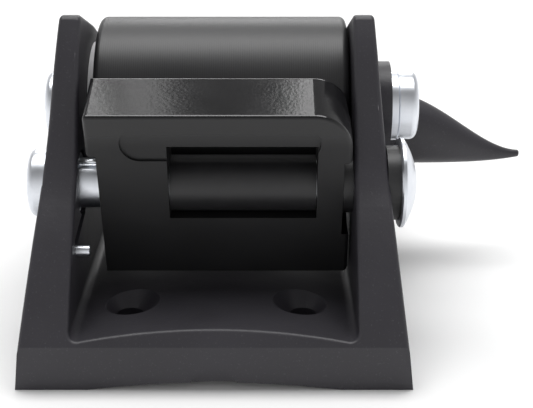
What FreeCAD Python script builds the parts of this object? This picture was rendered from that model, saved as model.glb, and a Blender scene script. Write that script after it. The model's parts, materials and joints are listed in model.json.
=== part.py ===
"""Lever line lock for a deck: a cast channel with a guide roller, a sprung jam lever and a belaying horn.

Frame: +X to the right seen from the mouth, +Y towards the roller end, +Z up.
The origin is the centre of the four mounting holes, on the underside. Millimetres.
"""
import FreeCAD, Part
import Sketcher
import math
import os

DIMENSIONS = {
    # channel
    "inner_width": 54, "base_length": 86, "hole_pitch_x": 34, "hole_pitch_y": 62, "mouth_margin": 15,
    "floor_edge": 9.5, "floor_crown": 2.3, "arch_rise": 1.6, "arch_width": 48,
    "base_width": 75, "waist_width": 69.1, "waist_height": 26,
    "top_width": 62.6, "top_height": 62.6, "corner_round": 0.9, "floor_blend": 1.5,
    "bolt_hole": 5.5, "countersink": 12.6, "deck_pad": 13, "screw_thread_room": 1,
    "gate_mark_radius": 4.9, "gate_mark_below": 0.7, "gate_mark_depth": 0.5,
    # places measured back from the mouth and up from the underside
    "mouth_lip": 9, "brow_back": 7.87, "brow_up": 20.15, "waist_back": 17, "waist_up": 30.3,
    "hollow_back": 23.3, "hollow_up": 37.6, "neck_back": 28, "neck_up": 46.1, "crest_back": 32.1,
    "crest_up": 54.75, "top_back": 37.6, "top_flat": 1.8, "top_round": 1.5, "overcut": 5,
    "shoulder_back": 53.6, "shoulder_up": 57.5, "bulge_back": 77, "bulge_up": 39.9, "rear_low_up": 12,
    "pivot_back": 28, "pivot_up": 31.1, "axle_back": 51.8, "axle_up": 39.9,
    # flat seats cut into the outside of the cheeks
    "pivot_seat": 15.8, "pivot_seat_face": 33.6, "axle_seat": 20, "axle_seat_face": 32.6,
    # pins
    "pivot_pin": 10, "pivot_head": 18, "pivot_head_length": 3.6, "axle_pin": 8, "axle_head": 14.6,
    "axle_head_length": 4.4, "pin_play": 0.06, "pin_chamfer": 0.6, "head_round": 1.5, "head_bevel": 0.3,
    "dome": 2.7, "dome_flat": 1.5,
    "dark_washer": 2.6, "pivot_washer": 15, "axle_washer": 15, "washer": 1.6, "pivot_cap": 13.6,
    "pivot_cap_length": 1.9, "axle_cap": 14.6,
    "axle_cap_length": 2.8, "cap_wall": 0.9, "cap_crown": 0.35, "cap_round": 1.3, "press_gap": 0.02,
    # roller
    "roller": 38, "roller_left": 25.2, "roller_right": 26.6, "roller_round": 1.4, "bush": 12,
    "bush_length": 14,
    "bush_flange": 16, "bush_flange_length": 1.2, "thrust_washer": 27.4, "thrust_washer_length": 1.5,
    "ring_gap": 0.1,
    # lever, from the pivot
    "lever_left": 24.8, "lever_right": 26.4, "pad_front_y": -10.5, "pad_front_z": 17, "pad_back_y": 3,
    "pad_back_z": 21.1, "pad_under_y": 4, "pad_under_z": 17.6, "plate_back_y": -1, "plate_back_z": 14.9,
    "hub": 11.8, "heel_y": 5.3, "heel_z": 2.4, "toe_back_y": 6, "toe_back_z": -18.2, "toe_front_y": -1.3,
    "toe_front_z": -18.9,
    "tooth_depth": 0.9, "pad_corner": 7.5, "edge_round": 0.9,
    "window_left": 9.3, "window_right": 19.8, "window_top": 10.4, "window_bottom": -5.8,
    "panel_left": 18.2, "panel_right": 20.3, "panel_top": 14.9, "panel_bottom": 7.4, "panel_depth": 0.6,
    "spring_relief": 11.8, "spring_relief_face": 22.9, "spacer_relief": 10.4, "spacer_relief_face": 24.9,
    "lever_sleeve": 11.2, "lever_spacer": 12,
    # spring
    "wire": 1, "coil_radius": 5.8, "coil_pitch": 1.1, "coil_end": 27.6, "spring_pocket": 13.2,
    "spring_pocket_depth": 3.4, "spring_groove": 2.2, "anchor_y": -12, "anchor_z": -9.6, "anchor_pin": 2.2,
    "anchor_pin_face": 24.4, "anchor_pin_bore": 1, "anchor_pin_seat": 5.5, "hook_depth": 1.6,
    "hook_room": 0.3,
    # horn
    "flange": 3.6, "lug_gap": 0.5, "horn_back": 66, "horn_up": 30,
    "horn_reach": 34.2, "horn_root_top": 39, "horn_tip_top": 24.7, "horn_under": 21.8,
    "horn_under_rise": 1.4,
    "horn_root_breadth": 0.65, "horn_breadth_gain": 0.3, "horn_tip_round": 0.5,
    "screw_back": 54, "screw_up": 20, "flange_axle": 19, "flange_horn": 18,
    "flange_screw": 12, "screw": 5, "screw_head": 8.5, "screw_head_length": 3, "screw_washer": 1,
    "screw_length": 8,
    "screw_bevel": 0.4, "screw_room": 0.4, "hex_key": 4, "hex_key_depth": 1.8,
}
TEETH = 5
HOOK_ANGLE = 115
HORN_STATIONS = 9
HORN_DELAY = 1.2
HORN_UPTURN = 5
ARC_INSET = 1 - math.sqrt(0.5)
LUG_PLACES = ("axle", "horn", "screw")
WEB_CORNERS = (("axle", 206), ("axle", 58), ("horn", 43), ("horn", -71), ("screw", -90), ("screw", 165))
MOUTH = "-(dims.hole_pitch_y / 2 + dims.mouth_margin)"
PIVOT = (f"{MOUTH} + dims.pivot_back", "dims.pivot_up")
AXLE = (f"{MOUTH} + dims.axle_back", "dims.axle_up")
ANCHOR = (f"{PIVOT[0]} + dims.anchor_y", f"{PIVOT[1]} + dims.anchor_z")
SCREW = (f"{MOUTH} + dims.screw_back", "dims.screw_up")

doc = FreeCAD.newDocument("line_lock")
dims = doc.addObject("Spreadsheet::Sheet", "dims")
for row, (alias, size) in enumerate(DIMENSIONS.items(), start=1):
    dims.set(f"A{row}", alias)
    dims.set(f"B{row}", str(size))
    dims.setAlias(f"B{row}", alias)
doc.recompute()
nodes = []


def number(expression):
    """The present value of an expression on the sheet's cells."""
    return float(doc.getObject("dims").evalExpression(str(expression)))


def new_body(label, y="0", z="0"):
    """A body whose own origin sits at (0, y, z) of the assembly."""
    body = doc.addObject("PartDesign::Body", label)
    body.Label = label
    body.setExpression("Placement.Base.y", y)
    body.setExpression("Placement.Base.z", z)
    nodes.append(body)
    return body


def new_sketch(body, plane, offset="0"):
    sketch = body.newObject("Sketcher::SketchObject", f"{body.Label}_sketch")
    role = f"{plane}_Plane"
    support = next(feature for feature in body.Origin.OriginFeatures if feature.Role == role)
    sketch.AttachmentSupport = [(support, "")]
    sketch.MapMode = "FlatFace"
    sketch.setExpression("AttachmentOffset.Base.z", offset)
    return sketch


def pin_point(sketch, geometry, end, x, y):
    """Holds one point of the geometry at (x, y), each an expression."""
    for kind, text, axis in (("DistanceX", x, -2), ("DistanceY", y, -1)):
        if number(text) == 0:
            sketch.addConstraint(Sketcher.Constraint("PointOnObject", geometry, end, axis))
            continue
        index = sketch.addConstraint(Sketcher.Constraint(kind, -1, 1, geometry, end, number(text)))
        sketch.setExpression(f"Constraints[{index}]", text)


def add_outline(sketch, *points):
    """A closed outline. A point is (x, y); (x, y, through_x, through_y) is reached by an arc."""
    places = [FreeCAD.Vector(number(point[0]), number(point[1]), 0) for point in points]
    ends = []
    for index, point in enumerate(points):
        start, finish = places[index - 1], places[index]
        if len(point) == 2:
            edge = sketch.addGeometry(Part.LineSegment(start, finish), False)
            ends.append((edge, 1, 2))
            continue
        middle = FreeCAD.Vector(number(point[2]), number(point[3]), 0)
        edge = sketch.addGeometry(Part.Arc(start, middle, finish), False)
        forward = sketch.getPoint(edge, 1).distanceToPoint(start) < 1e-6
        ends.append((edge, 1, 2) if forward else (edge, 2, 1))
        mark = sketch.addGeometry(Part.Point(middle), True)
        sketch.addConstraint(Sketcher.Constraint("PointOnObject", mark, 1, edge))
        pin_point(sketch, mark, 1, point[2], point[3])
    for index, point in enumerate(points):
        edge, _, last = ends[index]
        following, first, _ = ends[(index + 1) % len(points)]
        sketch.addConstraint(Sketcher.Constraint("Coincident", edge, last, following, first))
        pin_point(sketch, edge, last, point[0], point[1])


def add_circle(sketch, x, y, diameter):
    centre = FreeCAD.Vector(number(x), number(y), 0)
    circle = sketch.addGeometry(Part.Circle(centre, FreeCAD.Vector(0, 0, 1), number(diameter) / 2), False)
    pin_point(sketch, circle, 3, x, y)
    index = sketch.addConstraint(Sketcher.Constraint("Diameter", circle, number(diameter)))
    sketch.setExpression(f"Constraints[{index}]", diameter)


def box_outline(left, right, low, high):
    return (right, low), (right, high), (left, high), (left, low)


def extrude(body, kind, sketch, length, both_ways=False, reversed_way=False):
    """Pads or pockets a sketch, and stops if a pocket takes nothing away."""
    before = body.Shape.Volume if kind == "Pocket" else 0
    feature = body.newObject(f"PartDesign::{kind}", f"{body.Label}_{kind.lower()}")
    feature.Profile = sketch
    feature.setExpression("Length", length)
    feature.SideType = "Symmetric" if both_ways else "One side"
    feature.Reversed = reversed_way
    doc.recompute()
    if kind == "Pocket" and body.Shape.Volume > before - 1e-3:
        raise RuntimeError(f"{feature.Name} cuts nothing")
    return feature


def revolve(body, sketch):
    feature = body.newObject("PartDesign::Revolution", f"{body.Label}_turned")
    feature.Profile = sketch
    feature.ReferenceAxis = (sketch, ["H_Axis"])
    feature.Angle = 360
    doc.recompute()
    return feature


def round_edges(body, radius, wanted):
    """Rounds the edges of the body's present solid whose middle and face normals pass the test."""
    base = body.Tip
    names = []
    for index, edge in enumerate(base.Shape.Edges, start=1):
        middle = edge.valueAt((edge.FirstParameter + edge.LastParameter) / 2)
        normals = []
        for face in base.Shape.ancestorsOfType(edge, Part.Face):
            normals.append(face.normalAt(*face.Surface.parameter(middle)))
        if len(normals) == 2 and wanted(edge, middle, normals):
            names.append(f"Edge{index}")
    feature = body.newObject("PartDesign::Fillet", f"{body.Label}_fillet")
    feature.Base = (base, names)
    feature.setExpression("Radius", radius)
    doc.recompute()
    if "Invalid" in feature.State:
        raise RuntimeError(f"{feature.Name} failed on {len(names)} edges")
    return feature


def turned(label, place, *profile):
    """A piece turned about a line along X through place: the profile is (x, radius) points."""
    body = new_body(label, *place)
    sketch = new_sketch(body, "XZ")
    add_outline(sketch, *profile)
    revolve(body, sketch)
    return body


def ring(label, place, left, right, bore, outside):
    inner, outer = f"({bore}) / 2", f"({outside}) / 2"
    return turned(label, place, (right, inner), (right, outer), (left, outer), (left, inner))


def along_x(edge):
    """True for a straight edge that runs along X."""
    if not isinstance(edge.Curve, Part.Line):
        return False
    return abs(edge.tangentAt(edge.FirstParameter).x) > 0.999


# ---------------------------------------------------------------- channel
def channel_section(body):
    """The cross-section: arched underside, crowned floor and cheeks that taper upwards."""
    sketch = new_sketch(body, "XZ", f"-({MOUTH} + dims.base_length)")
    foot, waist, top, inner = (f"dims.{part}_width / 2" for part in ("base", "waist", "top", "inner"))
    add_outline(
        sketch, (foot, "0"), (top, "dims.top_height", waist, "dims.waist_height"),
        (inner, "dims.top_height"),
        (inner, "dims.floor_edge"),
        (f"-{inner}", "dims.floor_edge", "0", "dims.floor_edge + dims.floor_crown"),
        (f"-{inner}", "dims.top_height"), (f"-{top}", "dims.top_height"),
        (f"-{foot}", "0", f"-{waist}", "dims.waist_height"), ("-dims.arch_width / 2", "0"),
        ("dims.arch_width / 2", "0", "0", "dims.arch_rise"),
    )
    extrude(body, "Pad", sketch, "dims.base_length")


def trim_cheeks(body):
    """Cuts the cheeks to their side outline: an S at the mouth and a round shoulder over the roller."""
    front = new_sketch(body, "YZ")
    beyond, above = f"{MOUTH} - dims.overcut", "dims.top_height + dims.overcut"
    top_front, top_rear = f"{MOUTH} + dims.top_back", f"{MOUTH} + dims.top_back + dims.top_flat"
    add_outline(
        front, (MOUTH, "dims.mouth_lip"),
        (f"{MOUTH} + dims.waist_back", "dims.waist_up", f"{MOUTH} + dims.brow_back", "dims.brow_up"),
        (f"{MOUTH} + dims.neck_back", "dims.neck_up", f"{MOUTH} + dims.hollow_back", "dims.hollow_up"),
        (top_front, "dims.top_height", f"{MOUTH} + dims.crest_back", "dims.crest_up"),
        (top_front, above), (beyond, above), (beyond, "dims.mouth_lip"),
    )
    extrude(body, "Pocket", front, "dims.base_width * 2", both_ways=True)
    rear = new_sketch(body, "YZ")
    end = f"{MOUTH} + dims.base_length"
    add_outline(
        rear, (end, "dims.rear_low_up"),
        (f"{MOUTH} + dims.shoulder_back", "dims.shoulder_up", f"{MOUTH} + dims.bulge_back", "dims.bulge_up"),
        (top_rear, "dims.top_height"),
        (top_rear, above), (f"{end} + dims.overcut", above), (f"{end} + dims.overcut", "dims.rear_low_up"),
    )
    extrude(body, "Pocket", rear, "dims.base_width * 2", both_ways=True)


def lug_point(place, degrees, grow, mouth):
    """A point just inside the rim of one of the lug's three discs, at an angle from +Y towards +Z."""
    angle, inside = math.radians(degrees), 0.98
    reach = f"(dims.flange_{place} / 2 + {grow}) * {inside}"
    return (f"{mouth} + dims.{place}_back + {reach} * {math.cos(angle):.5f}",
            f"dims.{place}_up + {reach} * {math.sin(angle):.5f}")


def lug_shapes(body, kind, face, depth, grow, mouth="0"):
    """Pads or pockets the horn's lug: discs at the axle, the horn and the screw, with a web between."""
    outward = kind == "Pocket"
    for place in LUG_PLACES:
        disc = new_sketch(body, "YZ", face)
        add_circle(disc, f"{mouth} + dims.{place}_back", f"dims.{place}_up",
                   f"dims.flange_{place} + 2 * {grow}")
        extrude(body, kind, disc, depth, reversed_way=outward)
    web = new_sketch(body, "YZ", face)
    add_outline(web, *(lug_point(place, degrees, grow, mouth) for place, degrees in WEB_CORNERS))
    extrude(body, kind, web, depth, reversed_way=outward)


def pin_seats(body):
    """Flat round seats for the pins' washers on both cheeks, and the seat for the horn's lug on the right."""
    for place, size, face, side in ((PIVOT, "dims.pivot_seat", "dims.pivot_seat_face", 1),
                                    (PIVOT, "dims.pivot_seat", "dims.pivot_seat_face", -1),
                                    (AXLE, "dims.axle_seat", "dims.axle_seat_face", -1)):
        sketch = new_sketch(body, "YZ", f"{side} * {face}")
        add_circle(sketch, *place, size)
        extrude(body, "Pocket", sketch, "dims.base_width", reversed_way=side > 0)
    lug_shapes(body, "Pocket", "dims.axle_seat_face", "dims.base_width", "dims.lug_gap", MOUTH)


def bolt_places():
    return [(f"{side_x} * dims.hole_pitch_x / 2", f"{side_y} * dims.hole_pitch_y / 2")
            for side_x in (1, -1) for side_y in (1, -1)]


def deck_pads(body):
    """Round feet under the arch, one round each bolt hole, that bring it down to the deck."""
    pads = new_sketch(body, "XY")
    for place in bolt_places():
        add_circle(pads, *place, "dims.deck_pad")
    extrude(body, "Pad", pads, "dims.arch_rise")


def spring_pocket(body):
    """The round pocket for the coil in the left cheek's inner wall, and the groove for its lower leg."""
    wall = "-dims.inner_width / 2"
    pocket = new_sketch(body, "YZ", wall)
    add_circle(pocket, *PIVOT, "dims.spring_pocket")
    extrude(body, "Pocket", pocket, "dims.spring_pocket_depth")
    groove = new_sketch(body, "YZ", wall)
    leg_start, leg_end = leg_points()
    along = (leg_end - leg_start).normalize()
    beyond = leg_end + along * number("dims.anchor_pin / 2")
    aside = FreeCAD.Vector(0, -along.z, along.y) * number("dims.spring_groove / 2")
    corners = [leg_start + aside, leg_start - aside, beyond - aside, beyond + aside]
    add_outline(groove, *((f"{PIVOT[0]} + {corner.y:.4f}", f"{PIVOT[1]} + {corner.z:.4f}")
                          for corner in corners))
    extrude(body, "Pocket", groove, "dims.spring_pocket_depth")


def channel_holes(body):
    """Pin holes through both cheeks, and the holes for the bolts, the horn's screw and the anchor pin."""
    pins = new_sketch(body, "YZ")
    add_circle(pins, *PIVOT, "dims.pivot_pin + dims.pin_play")
    add_circle(pins, *AXLE, "dims.axle_pin + dims.pin_play")
    extrude(body, "Pocket", pins, "dims.base_width * 2", both_ways=True)
    anchor = new_sketch(body, "YZ", "-dims.inner_width / 2")
    add_circle(anchor, *ANCHOR, "dims.anchor_pin")
    extrude(body, "Pocket", anchor, "dims.anchor_pin_seat")
    screw = new_sketch(body, "YZ", "dims.inner_width / 2 - dims.screw_thread_room")
    add_circle(screw, *SCREW, "dims.screw")
    extrude(body, "Pocket", screw, "dims.base_width", reversed_way=True)
    bolts = new_sketch(body, "XY", "dims.floor_edge + dims.floor_crown")
    for place in bolt_places():
        add_circle(bolts, *place, "dims.bolt_hole")
    doc.recompute()
    holes = body.newObject("PartDesign::Hole", "bolt_holes")
    holes.Profile = bolts
    holes.DepthType = "ThroughAll"
    holes.setExpression("Diameter", "dims.bolt_hole")
    holes.HoleCutType = "Countersink"
    holes.HoleCutCustomValues = True
    holes.setExpression("HoleCutDiameter", "dims.countersink")
    holes.HoleCutCountersinkAngle = 90
    doc.recompute()


def gate_mark(body):
    """The shallow half-round mark left by the casting gate, under the middle of the mouth."""
    sketch = new_sketch(body, "XZ", f"-({MOUTH})")
    add_circle(sketch, "0", "-dims.gate_mark_below", "dims.gate_mark_radius * 2")
    extrude(body, "Pocket", sketch, "dims.gate_mark_depth")


def channel_body():
    body = new_body("channel_body")
    channel_section(body)
    deck_pads(body)
    top, inner = number("dims.top_height"), number("dims.inner_width / 2")
    lip = number("dims.mouth_lip")

    def floor_corner(edge, middle, normals):
        return abs(abs(middle.x) - inner) < 0.01 and middle.z < lip + 1 and abs(edge.tangentAt(0).y) > 0.9
    round_edges(body, "dims.floor_blend", floor_corner)
    trim_cheeks(body)

    def top_corner(edge, middle, normals):
        return along_x(edge) and middle.z > top - 0.1
    round_edges(body, "dims.top_round", top_corner)

    def rim(edge, middle, normals):
        across = sorted(abs(normal.x) for normal in normals)
        return across[0] < 0.05 and across[1] > 0.9 and middle.z > lip + 0.1
    round_edges(body, "dims.corner_round", rim)
    pin_seats(body)
    spring_pocket(body)
    channel_holes(body)
    gate_mark(body)


# ---------------------------------------------------------------- lever
def lever_profile(body):
    """Side outline of the plate with its thumb pad, then the hub, in the pivot's own frame."""
    sketch = new_sketch(body, "YZ", "(dims.lever_right - dims.lever_left) / 2")
    teeth = []
    for tooth in range(TEETH):
        share = f"{2 * tooth + 1} / {2 * TEETH}"
        ramp = f"{2 * tooth + 2} / {2 * TEETH}"
        y, z = "dims.toe_back_y + (dims.toe_front_y - dims.toe_back_y)", "dims.toe_back_z"
        fall = "(dims.toe_front_z - dims.toe_back_z)"
        teeth.append((f"{y} * {share}", f"{z} + {fall} * {share} + dims.tooth_depth"))
        teeth.append((f"{y} * {ramp}", f"{z} + {fall} * {ramp}"))
    add_outline(
        sketch, ("dims.pad_front_y", "dims.pad_front_z"), ("dims.pad_back_y", "dims.pad_back_z"),
        ("dims.pad_under_y", "dims.pad_under_z"), ("dims.plate_back_y", "dims.plate_back_z"),
        ("dims.heel_y", "dims.heel_z"), ("dims.toe_back_y", "dims.toe_back_z"), *teeth,
    )
    extrude(body, "Pad", sketch, "dims.lever_left + dims.lever_right", both_ways=True)
    hub = new_sketch(body, "YZ", "(dims.lever_right - dims.lever_left) / 2")
    add_circle(hub, "0", "0", "dims.hub")
    extrude(body, "Pad", hub, "dims.lever_left + dims.lever_right", both_ways=True)


def lever_panel(body):
    """The shallow round-ended panel sunk in the front face, which leans forward towards its top."""
    lean = math.atan2(number("dims.toe_front_y - dims.pad_front_y"),
                      number("dims.pad_front_z - dims.toe_front_z"))
    sketch = new_sketch(body, "XZ", "-dims.toe_front_y")
    sketch.setExpression("AttachmentOffset.Base.y", "dims.toe_front_z")
    sketch.setExpression("AttachmentOffset.Rotation.Angle", f"{math.degrees(lean):.4f}")
    sketch.AttachmentOffset = FreeCAD.Placement(sketch.AttachmentOffset.Base,
                                                FreeCAD.Rotation(FreeCAD.Vector(1, 0, 0), math.degrees(lean)))
    low, high = (f"(dims.{edge} - dims.toe_front_z) / {math.cos(lean):.5f}"
                 for edge in ("panel_bottom", "panel_top"))
    middle, half = f"(({low}) + ({high})) / 2", f"(({high}) - ({low})) / 2"
    left, right = f"-dims.panel_left + {half}", f"dims.panel_right - {half}"
    add_outline(sketch, (left, low, "-dims.panel_left", middle), (right, low),
                (right, high, "dims.panel_right", middle), (left, high))
    extrude(body, "Pocket", sketch, "dims.panel_depth")


def lever_cuts(body):
    """The window, the pin bore, the reliefs at both sides and the hole for the spring's leg."""
    window = new_sketch(body, "XZ")
    add_outline(window, *box_outline("-dims.window_left", "dims.window_right", "dims.window_bottom",
                                     "dims.window_top"))
    extrude(body, "Pocket", window, "dims.roller * 2", both_ways=True)
    bore = new_sketch(body, "YZ")
    add_circle(bore, "0", "0", "dims.pivot_pin + dims.pin_play")
    extrude(body, "Pocket", bore, "dims.base_width * 2", both_ways=True)
    left = new_sketch(body, "YZ", "-dims.spring_relief_face")
    add_circle(left, "0", "0", "dims.spring_relief * 2")
    extrude(body, "Pocket", left, "dims.roller")
    below = new_sketch(body, "YZ", "-dims.spring_relief_face")
    reach = "dims.roller / 2"
    add_outline(below, *box_outline(f"-({reach})", reach, f"-2 * ({reach})", "0"))
    extrude(body, "Pocket", below, "dims.roller")
    right = new_sketch(body, "YZ", "dims.spacer_relief_face")
    add_circle(right, "0", "0", "dims.spacer_relief * 2")
    extrude(body, "Pocket", right, "dims.roller", reversed_way=True)
    hook = new_sketch(body, "YZ", "-dims.spring_relief_face")
    place = coil_point(math.radians(HOOK_ANGLE), 0)
    add_circle(hook, f"{place.y:.4f}", f"{place.z:.4f}", "dims.wire + dims.hook_room")
    extrude(body, "Pocket", hook, "dims.hook_depth + dims.hook_room", reversed_way=True)


def jam_lever():
    body = new_body("jam_lever", *PIVOT)
    lever_profile(body)
    right, under = number("dims.lever_right"), number("dims.pad_under_z")
    front_top = number("dims.pad_front_z")

    def right_corner(edge, middle, normals):
        across = max(abs(normal.x) for normal in normals)
        upward = max(normal.z for normal in normals)
        return abs(middle.x - right) < 0.01 and across > 0.99 and upward > 0.9 and middle.z > under
    round_edges(body, "dims.pad_corner", right_corner)

    def outer_rim(edge, middle, normals):
        upward = sorted(normal.z for normal in normals)
        forward = sorted(normal.y for normal in normals)
        round_top = middle.z > front_top - 1 and upward[1] > 0.5 and upward[0] < 0.3
        down_front = forward[0] < -0.9 and abs(forward[1]) < 0.1 and middle.z > -1
        return round_top or down_front
    round_edges(body, "dims.edge_round", outer_rim)
    lever_panel(body)
    lever_cuts(body)


# ---------------------------------------------------------------- turned pieces
def rounded_crown(rim, crown):
    """Profile of a flat head's end with a rounded rim."""
    soft, inset = "dims.head_round", f"{ARC_INSET:.4f} * dims.head_round"
    return ((f"{crown} - {soft}", rim), (crown, f"{rim} - {soft}", f"{crown} - {inset}", f"{rim} - {inset}"),
            (crown, "0"))


def domed_crown(rim, crown):
    """Profile of a domed head's end: an arc about a point on the axis, flattened in the middle."""
    edge, flat, rise = number(rim), number("dims.dome_flat"), number("dims.dome")
    centre = (edge ** 2 - flat ** 2 - rise ** 2) / (2 * rise)
    middle = (edge + flat) / 2
    sag = math.sqrt(edge ** 2 + centre ** 2 - middle ** 2) - centre - rise
    return ((f"{crown} - dims.dome", rim),
            (crown, "dims.dome_flat", f"{crown} + {sag:.5f}", str(middle)), (crown, "0"))


def headed_pin(label, place, diameter, head, head_face, end_face, crown_points):
    """A plain pin with a head at +X, whose end is given as profile points, and a chamfered end at -X."""
    radius, rim = f"{diameter} / 2", f"{head} / 2"
    return turned(
        label, place, (end_face, "0"), (end_face, f"{radius} - dims.pin_chamfer"),
        (f"{end_face} + dims.pin_chamfer", radius), (head_face, radius),
        (head_face, f"{rim} - dims.head_bevel"),
        (f"{head_face} + dims.head_bevel", rim), *crown_points,
    )


def push_cap(label, place, bore, outside, face, length):
    """A pressed steel cap over a pin's end: open at its +X face and domed at -X."""
    rim, wall, crown = f"{outside} / 2", "dims.cap_wall", "dims.cap_crown"
    end, inner = f"{face} - {length}", f"({bore}) / 2"
    soft, inset = "dims.cap_round", f"{ARC_INSET:.4f} * dims.cap_round"
    return turned(
        label, place, (face, inner), (face, rim), (f"{end} + {soft}", rim),
        (end, f"{rim} - {soft}", f"{end} + {inset}", f"{rim} - {inset}"), (f"{end} - {crown}", "0"),
        (f"{end} - {crown} + {wall}", "0"), (f"{end} - {crown} + {wall}", inner),
    )


def roller():
    """The guide roller, with rounded rims and a stepped bore for its two bushes."""
    rim, bore, recess = "dims.roller / 2", "dims.bush / 2", "dims.bush_flange / 2"
    left, right, soft = "-dims.roller_left", "dims.roller_right", "dims.roller_round"
    step, inset = "dims.bush_flange_length", f"{ARC_INSET:.4f} * dims.roller_round"
    turned(
        "roller", AXLE, (left, recess), (left, f"{rim} - {soft}"),
        (f"{left} + {soft}", rim, f"{left} + {inset}", f"{rim} - {inset}"), (f"{right} - {soft}", rim),
        (right, f"{rim} - {soft}", f"{right} - {inset}", f"{rim} - {inset}"),
        (right, recess), (f"{right} - {step}", recess), (f"{right} - {step}", bore),
        (f"{left} + {step}", bore), (f"{left} + {step}", recess),
    )


def roller_bush(label, face, side):
    """A flanged bush pressed into one end of the roller: side is 1 on the right and -1 on the left."""
    inner, outer, flange = "(dims.axle_pin + dims.pin_play) / 2", "dims.bush / 2", "dims.bush_flange / 2"
    step, end = f"{face} - {side} * dims.bush_flange_length", f"{face} - {side} * dims.bush_length"
    turned(
        label, AXLE, (face, inner), (face, flange), (step, flange), (step, outer), (end, outer), (end, inner),
    )


def pins_and_washers():
    """Both pins with their heads at the right, their caps at the left and every ring they carry."""
    pivot_bore, axle_bore = "dims.pivot_pin + dims.pin_play", "dims.axle_pin + dims.pin_play"
    pivot_seat, axle_seat = "dims.pivot_seat_face", "dims.axle_seat_face"
    lug = f"{axle_seat} + dims.flange"
    pivot_head, axle_head = f"{pivot_seat} + dims.dark_washer", f"{lug} + dims.washer"
    pivot_cap_face, axle_cap_face = f"-({pivot_seat} + dims.washer)", f"-({axle_seat} + dims.washer)"
    ring("pivot_washer_right", PIVOT, pivot_seat, pivot_head, pivot_bore, "dims.pivot_washer")
    ring("pivot_washer_left", PIVOT, pivot_cap_face, f"-{pivot_seat}", pivot_bore, "dims.pivot_cap")
    ring("axle_washer_right", AXLE, lug, axle_head, axle_bore, "dims.axle_washer")
    ring("axle_washer_left", AXLE, axle_cap_face, f"-{axle_seat}", axle_bore, "dims.axle_cap")
    into_cap = "dims.cap_crown + dims.cap_wall + dims.press_gap"
    headed_pin("pivot_pin", PIVOT, "dims.pivot_pin", "dims.pivot_head", pivot_head,
               f"{pivot_cap_face} - dims.pivot_cap_length + {into_cap}",
               domed_crown("dims.pivot_head / 2", f"{pivot_head} + dims.pivot_head_length"))
    headed_pin("roller_axle", AXLE, "dims.axle_pin", "dims.axle_head", axle_head,
               f"{axle_cap_face} - dims.axle_cap_length + {into_cap}",
               rounded_crown("dims.axle_head / 2", f"{axle_head} + dims.axle_head_length"))
    push_cap("pivot_push_cap", PIVOT, "dims.pivot_pin + dims.press_gap", "dims.pivot_cap", pivot_cap_face,
             "dims.pivot_cap_length")
    push_cap("axle_push_cap", AXLE, "dims.axle_pin + dims.press_gap", "dims.axle_cap", axle_cap_face,
             "dims.axle_cap_length")
    wall, gap = "dims.inner_width / 2", "dims.ring_gap"
    thrust_left = f"-({wall} - {gap})"
    ring("thrust_washer", AXLE, thrust_left, f"{thrust_left} + dims.thrust_washer_length",
         f"{axle_bore} + {gap}", "dims.thrust_washer")
    ring("lever_spacer", PIVOT, f"dims.spacer_relief_face + {gap}", f"{wall} - {gap}", pivot_bore,
         "dims.lever_spacer")
    ring("lever_sleeve", PIVOT, f"-dims.window_left + {gap}", f"dims.window_right - {gap}", pivot_bore,
         "dims.lever_sleeve")
    ring("spring_anchor_pin", ANCHOR, f"-({wall} + dims.anchor_pin_seat - {gap})", "-dims.anchor_pin_face",
         "dims.anchor_pin_bore", "dims.anchor_pin - dims.press_gap")


# ---------------------------------------------------------------- spring
def coil_point(angle, x):
    """A point on the coil's centreline circle, from the pivot."""
    radius = number("dims.coil_radius")
    return FreeCAD.Vector(x, radius * math.cos(angle), radius * math.sin(angle))


def leg_points():
    """Where the lower leg leaves the coil at a tangent, and its end on top of the anchor pin."""
    radius, lift = number("dims.coil_radius"), number("(dims.anchor_pin + dims.wire) / 2 + 0.1")
    y, z = number("dims.anchor_y"), number("dims.anchor_z") + lift
    angle = math.atan2(z, y) + math.acos(radius / math.hypot(y, z))
    return coil_point(angle, 0), FreeCAD.Vector(0, y, z)


def rod(start, end, diameter):
    return Part.makeCylinder(diameter / 2, start.distanceToPoint(end), start, end - start)


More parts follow.
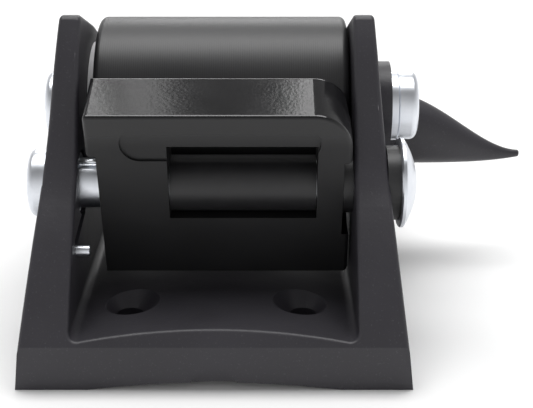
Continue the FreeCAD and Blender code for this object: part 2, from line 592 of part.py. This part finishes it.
def return_spring():
    """A torsion spring: a leg in the groove to the anchor pin, the coil, and a leg along X into the lever."""
    radius, wire, pitch = number("dims.coil_radius"), number("dims.wire"), number("dims.coil_pitch")
    leg_start, leg_end = leg_points()
    first = math.atan2(leg_start.z, leg_start.y)
    turns = 1 + (math.radians(HOOK_ANGLE) - first) / math.tau
    end_x = -number("dims.coil_end")
    start_x = end_x - turns * pitch
    coil = Part.makeHelix(pitch, turns * pitch, radius)
    coil.rotate(FreeCAD.Vector(), FreeCAD.Vector(0, 0, 1), math.degrees(first))
    # the helix rises along Z from its X axis: turn Z onto X, X onto Y and Y onto Z
    coil.Placement = FreeCAD.Placement(FreeCAD.Vector(start_x, 0, 0), FreeCAD.Rotation(
        FreeCAD.Vector(0, 1, 0), FreeCAD.Vector(0, 0, 1), FreeCAD.Vector(1, 0, 0), "ZXY")) * coil.Placement
    along_x_start = FreeCAD.Vector(start_x, 0, 0)
    coil_start, coil_end = coil_point(first, start_x), coil_point(math.radians(HOOK_ANGLE), end_x)
    in_lever = FreeCAD.Vector(number("dims.hook_depth - dims.spring_relief_face"), coil_end.y, coil_end.z)
    heading = FreeCAD.Vector(0, -math.sin(first), math.cos(first))
    circle = Part.Wire([Part.makeCircle(wire / 2, coil_start, heading)])
    wound = Part.Wire(coil.Edges).makePipeShell([circle], True, True)
    legs = [rod(leg_end + along_x_start, coil_start, wire), rod(coil_end, in_lever, wire)]
    bends = [Part.makeSphere(wire / 2, point) for point in (coil_start, coil_end)]
    feature = doc.addObject("Part::Feature", "return_spring")
    feature.Label = "return_spring"
    solid = wound
    for piece in bends + legs:
        solid = solid.fuse(piece)
    if len(solid.Solids) != 1 or solid.BoundBox.XMax < in_lever.x - wire:
        raise RuntimeError("the spring's legs are not joined to its coil")
    feature.Shape = solid
    feature.Placement = FreeCAD.Placement(FreeCAD.Vector(0, number(PIVOT[0]), number(PIVOT[1])),
                                          FreeCAD.Rotation())
    nodes.append(feature)


# ---------------------------------------------------------------- horn
def horn_section(share):
    """Top, underside and thickness of the horn at a share of its reach: the top falls in an S."""
    start = share ** HORN_DELAY
    fall = start * start * (3 - 2 * start)
    root, tip = number("dims.horn_root_top"), number("dims.horn_tip_top")
    top = root + (tip - root) * fall
    bottom = number("dims.horn_under") + number("dims.horn_under_rise") * share ** HORN_UPTURN
    breadth = number("dims.horn_root_breadth") + number("dims.horn_breadth_gain") * share
    return top, bottom, (top - bottom) * breadth


def cleat_horn():
    """The belaying horn: a lug seated on the axle boss, with a curved horn that tapers to its tip."""
    body = new_body("cleat_horn", MOUTH)
    seat = "dims.axle_seat_face"
    lug_shapes(body, "Pad", seat, "dims.flange", "0")
    sections = []
    reach, seat_x = number("dims.horn_reach"), number(f"{seat} + dims.flange / 2")
    for station in range(HORN_STATIONS):
        share = station / (HORN_STATIONS - 1)
        top, bottom, thickness = horn_section(share)
        section = new_sketch(body, "YZ", str(seat_x + share * reach))
        centre = FreeCAD.Vector(number("dims.horn_back"), (top + bottom) / 2, 0)
        tall, wide = FreeCAD.Vector(0, (top - bottom) / 2, 0), FreeCAD.Vector(thickness / 2, 0, 0)
        section.addGeometry(Part.Ellipse(centre + tall, centre + wide, centre), False)
        sections.append(section)
    loft = body.newObject("PartDesign::AdditiveLoft", "horn_loft")
    loft.Profile = sections[0]
    loft.Sections = sections[1:]
    doc.recompute()
    tip = seat_x + reach

    def tip_rim(edge, middle, normals):
        return middle.x > tip - 0.01
    round_edges(body, "dims.horn_tip_round", tip_rim)
    holes = new_sketch(body, "YZ", seat)
    add_circle(holes, "dims.axle_back", "dims.axle_up", "dims.axle_pin + dims.pin_play")
    add_circle(holes, "dims.screw_back", "dims.screw_up", "dims.screw + dims.screw_room")
    extrude(body, "Pocket", holes, "dims.base_width", both_ways=True)


def horn_screw():
    """A cap screw with a hexagon socket and, under it, a washer."""
    seat = "dims.axle_seat_face + dims.flange"
    head, shank, rim = f"{seat} + dims.screw_washer", "dims.screw / 2 - dims.press_gap", "dims.screw_head / 2"
    end, crown = f"{seat} - dims.screw_length", f"{head} + dims.screw_head_length"
    bevel = "dims.screw_bevel"
    ring("horn_screw_washer", SCREW, f"{seat} + dims.press_gap", head, "dims.screw + dims.screw_room",
         "dims.screw_head")
    body = turned(
        "horn_screw", SCREW, (end, "0"), (end, f"{shank} - {bevel}"),
        (f"{end} + {bevel}", shank), (head, shank),
        (head, rim), (f"{crown} - {bevel}", rim), (crown, f"{rim} - {bevel}"), (crown, "0"),
    )
    socket = new_sketch(body, "YZ", crown)
    corners = []
    for corner in range(6):
        angle = math.radians(60 * corner + 30)
        corners.append((f"dims.hex_key * {math.cos(angle) / math.sqrt(3):.5f}",
                        f"dims.hex_key * {math.sin(angle) / math.sqrt(3):.5f}"))
    add_outline(socket, *corners)
    extrude(body, "Pocket", socket, "dims.hex_key_depth")


channel_body()
jam_lever()
roller()
roller_bush("roller_bush_right", "dims.roller_right", 1)
roller_bush("roller_bush_left", "-dims.roller_left", -1)
pins_and_washers()
return_spring()
cleat_horn()
horn_screw()


def save(bodies):
    """Checks every object and writes each node's solid."""
    doc.recompute()
    broken = [item.Name for item in doc.Objects if {"Invalid", "Error"} & set(item.State)]
    if broken:
        raise RuntimeError(f"failed objects: {broken}")
    os.makedirs("parts", exist_ok=True)
    for body in bodies:
        shape = body.Shape
        if shape.isNull() or not shape.isValid():
            raise RuntimeError(f"{body.Label} has no valid shape")
        shape.exportStep(f"parts/{body.Label}.step")
        box = shape.BoundBox
        print(f"{body.Label}: {len(shape.Solids)} solid, {shape.Volume:.0f} mm3, "
              f"{box.XLength:.1f} x {box.YLength:.1f} x {box.ZLength:.1f}")


save(nodes)
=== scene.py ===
import json
import math

import bmesh
import bpy
from mathutils import Matrix, Vector


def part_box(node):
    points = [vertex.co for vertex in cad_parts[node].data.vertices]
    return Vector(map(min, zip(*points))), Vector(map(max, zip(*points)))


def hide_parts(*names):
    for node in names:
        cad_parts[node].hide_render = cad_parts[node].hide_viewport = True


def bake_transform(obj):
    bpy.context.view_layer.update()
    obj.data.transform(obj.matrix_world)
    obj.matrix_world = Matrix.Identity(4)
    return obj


MM = 0.001
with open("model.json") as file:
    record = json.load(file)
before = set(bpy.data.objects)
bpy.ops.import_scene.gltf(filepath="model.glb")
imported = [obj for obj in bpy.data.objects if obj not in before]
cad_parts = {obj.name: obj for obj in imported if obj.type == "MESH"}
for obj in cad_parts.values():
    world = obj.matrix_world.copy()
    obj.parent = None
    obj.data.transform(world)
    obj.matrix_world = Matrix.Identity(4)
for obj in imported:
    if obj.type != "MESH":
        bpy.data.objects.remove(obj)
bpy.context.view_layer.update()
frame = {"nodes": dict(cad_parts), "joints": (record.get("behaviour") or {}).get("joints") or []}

# ---------------------------------------------------------------- places read from the frame
JOINTS = {joint["name"]: joint for joint in frame["joints"]}
PIVOT = Vector(JOINTS["lever_pivot"]["pos_m"])
AXLE = Vector(JOINTS["roller_spin"]["pos_m"])
MOUTH_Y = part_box("channel_body")[0].y

# ---------------------------------------------------------------- the spring's own sizes
SPRING_WIRE, COIL_RADIUS, COIL_PITCH = 1.0 * MM, 5.8 * MM, 1.1 * MM
# the end of the lower leg, on top of the anchor pin, measured from the pivot
LEG_END = Vector((0, -12.0, -7.9)) * MM
HOOK_ANGLE = math.radians(115)
COIL_STEPS, BEND_STEPS, WIRE_SIDES = 96, 6, 16
HOOK_BEND = 1.0 * MM

# ---------------------------------------------------------------- view
VIEW_ELEVATION = math.radians(22)
VIEW_DISTANCE = 0.235
VIEW_TARGET = Vector((9.87 * MM, MOUTH_Y + 28.1 * MM, 26.4 * MM))
LENS, SENSOR = 78.5, 36
NEAR_LIMIT = 0.01

# ---------------------------------------------------------------- room
HORIZON_GLOW, ZENITH_GLOW = 1.0, 0.05
FLOOR_HALF_SIZE = 3
LIT_POINT = (0, 0, 30 * MM)
OVERHEAD_PLACE, OVERHEAD_SIZE, OVERHEAD_POWER = (0, 0.6, 2.85), (3.0, 1.5), 85
BACK_PLACE, BACK_SIZE, BACK_POWER = (0, 1.2, 0.62), (0.8, 0.2), 3
STRIP_BACK, STRIP_UP, STRIP_LENGTH = 0.42, 0.6, 0.15
# each strip light's name, place along X, width and power
STRIPS = (("far_left_strip", -0.133, 0.018, 0.05), ("left_strip", -0.085, 0.03, 0.03),
          ("right_strip", 0.045, 0.024, 0.06))

# ---------------------------------------------------------------- surface grain
PEEL_SCALE, GRAIN_SCALE = 1500, 3000
FINE_DEPTH, PEEL_DEPTH = 0.02 * MM, 0.05 * MM
# how far the lever's top leans towards the mouth, as a direction square to the thumb pad
PAD_NORMAL = (0, -0.29, 0.957)
PAD_FADE_LOW, PAD_FADE_HIGH = -6.5 * MM, -1.2 * MM


# ---------------------------------------------------------------- shader maths
class Wire:
    """A shader value that arithmetic can be written with: each operator adds one Math node."""

    def __init__(self, recipe, socket):
        self.recipe, self.socket = recipe, socket

    def maths(self, operation, *others):
        node = self.recipe.node("ShaderNodeMath", {"operation": operation},
                                dict(enumerate((self, *others))))
        return Wire(self.recipe, node.outputs[0])

    def __add__(self, other):
        return self.maths("ADD", other)

    def __sub__(self, other):
        return self.maths("SUBTRACT", other)

    def __mul__(self, other):
        return self.maths("MULTIPLY", other)

    def __rsub__(self, other):
        node = self.recipe.node("ShaderNodeMath", {"operation": "SUBTRACT"}, {0: other, 1: self})
        return Wire(self.recipe, node.outputs[0])

    __radd__, __rmul__ = __add__, __mul__

    def ramp(self, low, high):
        """0 below low, 1 above high and smooth between."""
        node = self.recipe.node("ShaderNodeMapRange", {"interpolation_type": "SMOOTHSTEP"},
                                {"Value": self, "From Min": low, "From Max": high})
        return Wire(self.recipe, node.outputs[0])


class Recipe:
    """One material: a Principled shader whose inputs are set or linked by name."""

    def __init__(self, name):
        self.material = bpy.data.materials.new(name)
        self.material.use_nodes = True
        self.tree = self.material.node_tree
        self.shader = self.tree.nodes["Principled BSDF"]
        self.place = self.node("ShaderNodeTexCoord").outputs["Object"]

    def node(self, kind, settings=None, values=None):
        node = self.tree.nodes.new(kind)
        for name, value in (settings or {}).items():
            setattr(node, name, value)
        self.fill(node, values or {})
        return node

    def fill(self, node, values):
        for name, value in values.items():
            if isinstance(value, Wire):
                value = value.socket
            if isinstance(value, bpy.types.NodeSocket):
                self.tree.links.new(value, node.inputs[name])
            else:
                node.inputs[name].default_value = value

    def centred(self, centre, stretch=(1, 1, 1)):
        """Object coordinates measured from a point and stretched."""
        moved = self.node("ShaderNodeVectorMath", {"operation": "SUBTRACT"},
                          {0: self.place, 1: tuple(centre)})
        node = self.node("ShaderNodeMapping", None, {"Vector": moved.outputs[0], "Scale": stretch})
        return node.outputs[0]

    def noise(self, scale, detail=2.0, vector=None):
        node = self.node("ShaderNodeTexNoise", None,
                         {"Vector": vector or self.place, "Scale": scale, "Detail": detail})
        return Wire(self, node.outputs["Fac"])

    def rings(self, centre, scale):
        """Fine turning marks round an axis along X."""
        node = self.node("ShaderNodeTexWave", {"wave_type": "RINGS", "rings_direction": "X"},
                         {"Vector": self.centred(centre), "Scale": scale, "Distortion": 1.5,
                          "Detail": 2.0})
        return Wire(self, node.outputs["Fac"])

    def along(self, vector, direction):
        """How far each point lies along a direction."""
        node = self.node("ShaderNodeVectorMath", {"operation": "DOT_PRODUCT"},
                         {0: vector, 1: tuple(direction)})
        return Wire(self, node.outputs["Value"])

    def colour(self, share, first, second):
        node = self.node("ShaderNodeMix", {"data_type": "RGBA"}, {0: share})
        for socket, value in ((node.inputs[6], first), (node.inputs[7], second)):
            if isinstance(value, bpy.types.NodeSocket):
                self.tree.links.new(value, socket)
            else:
                socket.default_value = (*value, 1)
        return node.outputs[2]

    def bump(self, height, depth, strength=1.0, below=None):
        values = {"Height": height, "Distance": depth, "Strength": strength}
        if below is not None:
            values["Normal"] = below
        return self.node("ShaderNodeBump", None, values).outputs[0]

    def finish(self, **values):
        self.fill(self.shader, {name.replace("_", " "): value for name, value in values.items()})
        return self.material


# ---------------------------------------------------------------- finishes
def satin_paint():
    """Thick black satin paint on a casting: a faint orange peel over the casting's own unevenness."""
    paint = Recipe("satin_paint")
    cloud = paint.noise(70, 3)
    speck = paint.noise(2600, 1).ramp(0.66, 0.74)
    tone = paint.colour(cloud, (0.018, 0.0165, 0.021), (0.030, 0.028, 0.035))
    tone = paint.colour(speck * 0.35, tone, (0.075, 0.073, 0.080))
    casting = paint.bump(paint.noise(160, 2), 0.25 * MM, 0.35)
    peel = paint.bump(paint.noise(PEEL_SCALE, 2), PEEL_DEPTH, 0.5, casting)
    return paint.finish(Base_Color=tone, Roughness=0.40 + cloud * 0.12, Normal=peel)


def lever_enamel():
    """Black enamel: glossy on the worn thumb pad, duller on the plate below it."""
    enamel = Recipe("lever_enamel")
    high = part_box("jam_lever")[1]
    height = enamel.along(enamel.centred((0, high.y, high.z)), PAD_NORMAL)
    pad = height.ramp(PAD_FADE_LOW, PAD_FADE_HIGH)
    cloud = enamel.noise(110, 3)
    tone = enamel.colour(cloud, (0.006, 0.006, 0.0065), (0.011, 0.0108, 0.012))
    flow = enamel.bump(enamel.noise(140, 1), 0.1 * MM, 0.3)
    peel = enamel.bump(enamel.noise(PEEL_SCALE, 2), 0.8 * PEEL_DEPTH, 0.4, flow)
    rough = 0.46 + cloud * 0.08 - pad * 0.36
    return enamel.finish(Base_Color=tone, Roughness=rough, Normal=peel)


def roller_acetal():
    """Black acetal, turned on a lathe and polished a little by the line."""
    acetal = Recipe("roller_acetal")
    marks = acetal.node("ShaderNodeTexWave", {"wave_type": "BANDS", "bands_direction": "X"},
                        {"Vector": acetal.place, "Scale": 700.0, "Distortion": 0.6, "Detail": 1.0})
    grooves = Wire(acetal, marks.outputs["Fac"])
    cloud = acetal.noise(90, 3, acetal.centred(AXLE, stretch=(0.35, 1, 1)))
    tone = acetal.colour(cloud, (0.012, 0.012, 0.013), (0.020, 0.0195, 0.021))
    return acetal.finish(Base_Color=tone, Roughness=0.36 + cloud * 0.12,
                         Normal=acetal.bump(grooves, FINE_DEPTH, 0.5))


def plain_acetal(name, dark, light):
    acetal = Recipe(name)
    cloud = acetal.noise(400, 2)
    tone = acetal.colour(cloud, dark, light)
    return acetal.finish(Base_Color=tone, Roughness=0.38 + cloud * 0.1,
                         Normal=acetal.bump(acetal.noise(2500, 1), FINE_DEPTH, 0.4))


def zinc_plate(node_name):
    """Bright zinc plating over turned steel, with rings about the piece's own axis."""
    low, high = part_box(node_name)
    zinc = Recipe(f"zinc_{node_name}")
    cloud = zinc.noise(350, 3)
    tone = zinc.colour(cloud, (0.66, 0.69, 0.74), (0.84, 0.86, 0.90))
    rings = zinc.bump(zinc.rings((low + high) / 2, 450), FINE_DEPTH, 0.35)
    grain = zinc.bump(zinc.noise(GRAIN_SCALE, 2), FINE_DEPTH, 0.4, rings)
    return zinc.finish(Base_Color=tone, Metallic=1.0, Roughness=0.24 + cloud * 0.16, Normal=grain)


def plain_metal(name, dark, light, roughness):
    metal = Recipe(name)
    cloud = metal.noise(500, 3)
    tone = metal.colour(cloud, dark, light)
    return metal.finish(Base_Color=tone, Metallic=1.0, Roughness=roughness + cloud * 0.12,
                        Normal=metal.bump(metal.noise(GRAIN_SCALE, 2), FINE_DEPTH, 0.4))


def paint_cad_nodes():
    paint = satin_paint()
    black = plain_acetal("black_acetal", (0.012, 0.012, 0.013), (0.020, 0.0195, 0.021))
    bronze = plain_metal("sintered_bronze", (0.36, 0.21, 0.09), (0.50, 0.32, 0.15), 0.38)
    oxide = plain_metal("black_oxide", (0.020, 0.020, 0.022), (0.045, 0.044, 0.048), 0.34)
    finishes = {
        "channel_body": paint, "cleat_horn": paint, "jam_lever": lever_enamel(), "roller": roller_acetal(),
        "roller_bush_left": bronze, "roller_bush_right": bronze, "lever_sleeve": black,
        "lever_spacer": black, "pivot_washer_right": black, "horn_screw": oxide, "horn_screw_washer": oxide,
        "thrust_washer": plain_acetal("white_acetal", (0.78, 0.77, 0.79), (0.86, 0.85, 0.87)),
    }
    for name, node in frame["nodes"].items():
        material = finishes.get(name) or zinc_plate(name)
        node.data.materials.clear()
        node.data.materials.append(material)


# ---------------------------------------------------------------- the spring
def around_pivot(angle, x):
    """A point on the coil's centreline circle."""
    return Vector((x, PIVOT.y + COIL_RADIUS * math.cos(angle), PIVOT.z + COIL_RADIUS * math.sin(angle)))


def end_geometry(face):
    """A face with its edges and corners, as the operators take them."""
    return [face, *face.edges, *face.verts]


def drawn_on(builder, face, along):
    """Draws the wire's end face on by a straight length, and gives the new end face."""
    made = bmesh.ops.extrude_face_region(builder, geom=[face])["geom"]
    corners = [item for item in made if isinstance(item, bmesh.types.BMVert)]
    bmesh.ops.translate(builder, vec=along, verts=corners)
    return next(item for item in made if isinstance(item, bmesh.types.BMFace))


def wound_on(builder, face, centre, axis, angle, steps, climb=0.0):
    """Winds the wire's end face round an axis, climbing along it, and gives the new end face."""
    made = bmesh.ops.spin(
        builder, geom=end_geometry(face), cent=centre, axis=axis, angle=angle, steps=steps,
        dvec=Vector(axis) * climb / steps)
    return next(item for item in made["geom_last"] if isinstance(item, bmesh.types.BMFace))


def place_spring():
    """The torsion spring: a leg from the anchor pin, the coil, and a leg along X into the lever."""
    low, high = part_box("return_spring")
    start_x = low.x + SPRING_WIRE / 2
    lean = math.atan2(LEG_END.z, LEG_END.y) + math.acos(COIL_RADIUS / LEG_END.length)
    first = math.atan2(math.sin(lean), math.cos(lean))
    turned = HOOK_ANGLE + math.tau - first - HOOK_BEND / COIL_RADIUS
    end_x = start_x + COIL_PITCH * turned / math.tau
    leg_end, coil_start = PIVOT + LEG_END, around_pivot(first, start_x)
    leg_end.x = start_x
    heading = coil_start - leg_end
    builder = bmesh.new()
    facing = Matrix.Translation(leg_end) @ heading.to_track_quat("Z", "Y").to_matrix().to_4x4()
    bmesh.ops.create_circle(builder, cap_ends=True, segments=WIRE_SIDES, radius=SPRING_WIRE / 2,
                            matrix=facing)
    face = drawn_on(builder, builder.faces[:][0], heading)
    face = wound_on(builder, face, (start_x, PIVOT.y, PIVOT.z), (1, 0, 0), turned, COIL_STEPS,
                    end_x - start_x)
    last = first + turned
    bend_centre = around_pivot(last, end_x) + Vector((HOOK_BEND, 0, 0))
    outward = Vector((0, math.cos(last), math.sin(last)))
    face = wound_on(builder, face, bend_centre, outward, math.pi / 2, BEND_STEPS)
    drawn_on(builder, face, Vector((high.x - end_x - HOOK_BEND, 0, 0)))
    bmesh.ops.recalc_face_normals(builder, faces=builder.faces)
    mesh = bpy.data.meshes.new("wound_spring")
    builder.to_mesh(mesh)
    builder.free()
    for polygon in mesh.polygons:
        polygon.use_smooth = len(polygon.vertices) == 4
    mesh.materials.append(plain_metal("spring_steel", (0.60, 0.63, 0.66), (0.80, 0.82, 0.85), 0.22))
    spring = bpy.data.objects.new("wound_spring", mesh)
    bpy.context.scene.collection.objects.link(spring)
    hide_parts("return_spring")
    # the lower leg is as thick as the wire and stays wholly with the frame
    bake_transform(spring)


# ---------------------------------------------------------------- room
def place_floor():
    mesh = bpy.data.meshes.new("floor")
    builder = bmesh.new()
    bmesh.ops.create_grid(builder, x_segments=1, y_segments=1, size=FLOOR_HALF_SIZE)
    builder.to_mesh(mesh)
    builder.free()
    floor = bpy.data.objects.new("floor", mesh)
    bpy.context.scene.collection.objects.link(floor)
    card = Recipe("pale_card")
    mesh.materials.append(card.finish(
        Base_Color=card.colour(card.noise(4, 2), (0.90, 0.90, 0.90), (0.92, 0.92, 0.92)), Roughness=0.9))


def place_light(name, place, size, power):
    """A rectangular light that faces the middle of the object."""
    light = bpy.data.lights.new(name, "AREA")
    light.shape, light.energy = "RECTANGLE", power
    light.size, light.size_y = size
    lamp = bpy.data.objects.new(name, light)
    bpy.context.scene.collection.objects.link(lamp)
    lamp.location = place
    lamp.rotation_euler = (Vector(LIT_POINT) - Vector(place)).to_track_quat("-Z", "Y").to_euler()


def place_lights():
    """A room that glows at the horizon and is dim overhead, with two boxes and three strips."""
    world = bpy.data.worlds.new("studio")
    bpy.context.scene.world = world
    world.use_nodes = True
    tree = world.node_tree
    background = tree.nodes["Background"]
    direction = tree.nodes.new("ShaderNodeTexCoord")
    parts = tree.nodes.new("ShaderNodeSeparateXYZ")
    fade = tree.nodes.new("ShaderNodeMapRange")
    tree.links.new(direction.outputs["Generated"], parts.inputs["Vector"])
    tree.links.new(parts.outputs["Z"], fade.inputs["Value"])
    fade.inputs["To Min"].default_value, fade.inputs["To Max"].default_value = HORIZON_GLOW, ZENITH_GLOW
    tree.links.new(fade.outputs["Result"], background.inputs["Strength"])
    background.inputs["Color"].default_value = (1, 1, 1, 1)
    place_light("overhead_box", OVERHEAD_PLACE, OVERHEAD_SIZE, OVERHEAD_POWER)
    place_light("back_box", BACK_PLACE, BACK_SIZE, BACK_POWER)
    for name, side, width, power in STRIPS:
        place_light(name, (side, STRIP_BACK, STRIP_UP), (width, STRIP_LENGTH), power)
    bpy.context.scene.view_settings.view_transform = "Standard"


def place_camera():
    camera = bpy.data.cameras.new("camera")
    camera.lens, camera.sensor_width = LENS, SENSOR
    camera.clip_start = NEAR_LIMIT
    holder = bpy.data.objects.new("camera", camera)
    bpy.context.scene.collection.objects.link(holder)
    back = Vector((0, -math.cos(VIEW_ELEVATION), math.sin(VIEW_ELEVATION)))
    holder.location = VIEW_TARGET + back * VIEW_DISTANCE
    holder.rotation_euler = (-back).to_track_quat("-Z", "Y").to_euler()
    bpy.context.scene.camera = holder


place_camera()
place_lights()
place_floor()
paint_cad_nodes()
place_spring()
